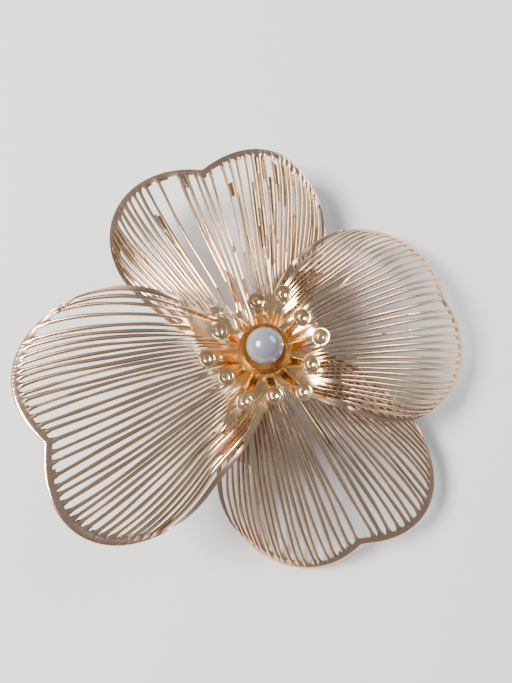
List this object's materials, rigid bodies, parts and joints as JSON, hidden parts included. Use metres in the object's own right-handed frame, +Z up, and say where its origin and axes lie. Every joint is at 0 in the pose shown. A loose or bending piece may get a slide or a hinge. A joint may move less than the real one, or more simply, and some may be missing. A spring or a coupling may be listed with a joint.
{
  "type": "flower hair clip",
  "caption": "Hair clip with an openwork metal flower, cupped stamens and a pearl, on a sprung clip with a toothed jaw.",
  "frame": {"origin": "flat underside of the clip's lower arm, directly under the flower's centre", "axes": "+X along the clip from the thumb levers to the tip, +Y along the hinge, +Z up through the flower's centre"},
  "size_m": [0.0744, 0.0725, 0.0239],
  "materials": {
    "rose_gold": "bright rose gold plate on etched brass, rounded ribs",
    "deep_gold": "polished yellow gold plate on stamped brass",
    "clip_gold": "satin gold plate on spring steel sheet",
    "spring_steel": "plain drawn spring wire",
    "pearl_white": "pearlescent lacquer on a round bead"
  },
  "bodies": {
    "flower": {"backing_cup": "clip_gold", "centre_rivet": "deep_gold", "clip_upper_arm": "clip_gold", "hinge_pin": "clip_gold", "long_stamens": "deep_gold", "lower_petals": "rose_gold", "pearl": "pearl_white", "pearl_dish": "deep_gold", "short_stamens": "deep_gold", "torsion_spring": "spring_steel", "upper_petals": "rose_gold"},
    "jaw": {"clip_lower_arm": "clip_gold"}
  },
  "joints": [
    {"name": "jaw_hinge", "type": "hinge", "parent": "flower", "child": "jaw", "pos_m": [-0.006, 0, 0.0038], "axis": [0, 1, 0], "range_deg": [0, 20], "stiffness_Nm_per_rad": 0.08, "springref_deg": -51.57, "deforming": ["torsion_spring"]}
  ]
}
